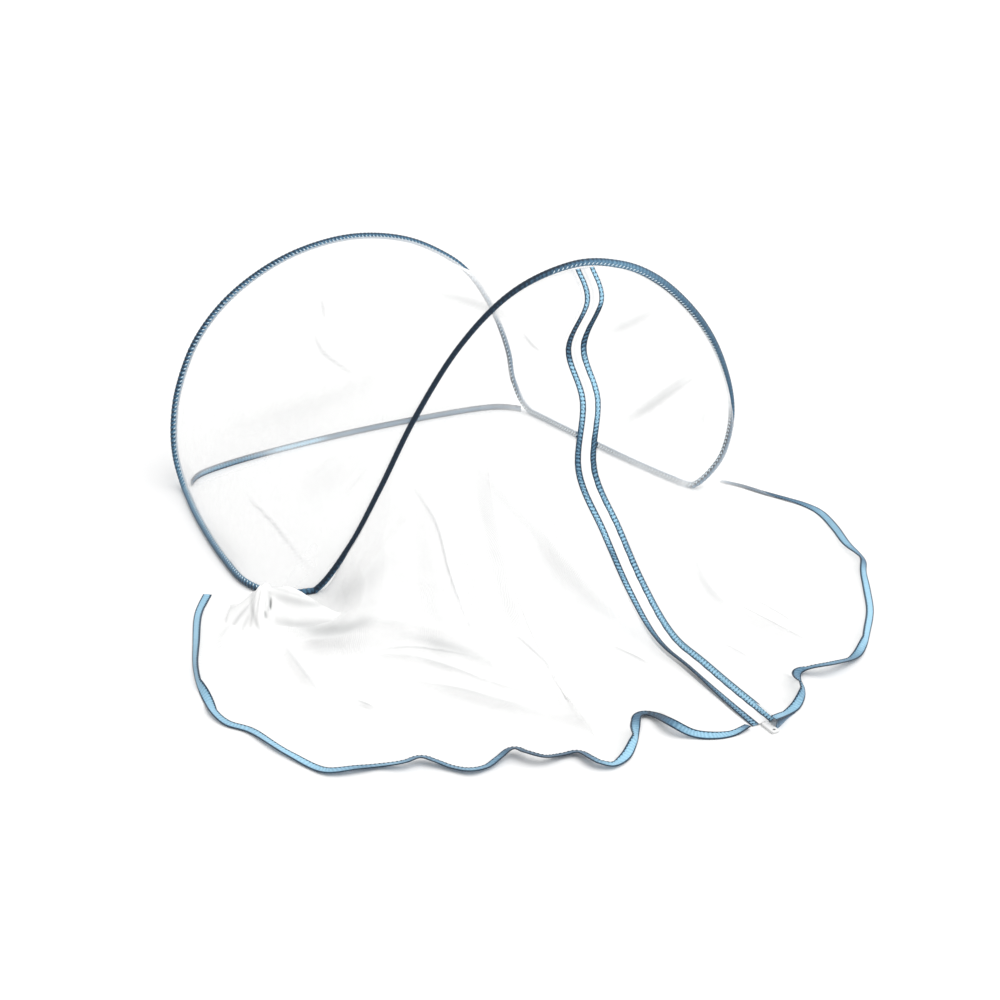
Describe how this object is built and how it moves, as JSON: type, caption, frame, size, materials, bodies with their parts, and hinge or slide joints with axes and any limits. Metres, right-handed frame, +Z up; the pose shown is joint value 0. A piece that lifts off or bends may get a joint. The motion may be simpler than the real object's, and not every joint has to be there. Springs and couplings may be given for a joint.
{
  "type": "mosquito net canopy with sprung wire hoops",
  "caption": "Low pop-up mosquito net: bound spring hoops carry a white net roof and end wall, and a zipped net skirt falls from the front hoop and spreads over the floor to a wavy blue hem.",
  "frame": {"origin": "on the floor, under the middle of the canopy's bounding box", "axes": "+X to the right along the hoops, +Y from the skirt towards the back hoop, +Z up"},
  "size_m": [0.9543, 1.0729, 0.4056],
  "materials": {
    "white_net": "sheer fine mesh",
    "blue_tape": "woven binding tape",
    "white_zip": "coil zip"
  },
  "bodies": {
    "root": {"hoop_back": "blue_tape", "side_wire_left": "blue_tape", "hoop_front": "blue_tape", "side_wire_right": "blue_tape", "roof_net": "white_net", "end_wall_net": "white_net", "skirt_left": "white_net", "skirt_right": "white_net", "knot": "white_net", "base_band": "blue_tape", "hem_tape_left": "blue_tape", "hem_tape_right": "blue_tape", "zip": "white_zip", "zip_tape_left": "blue_tape", "zip_tape_right": "blue_tape", "zip_slider": "white_zip"}
  },
  "joints": []
}
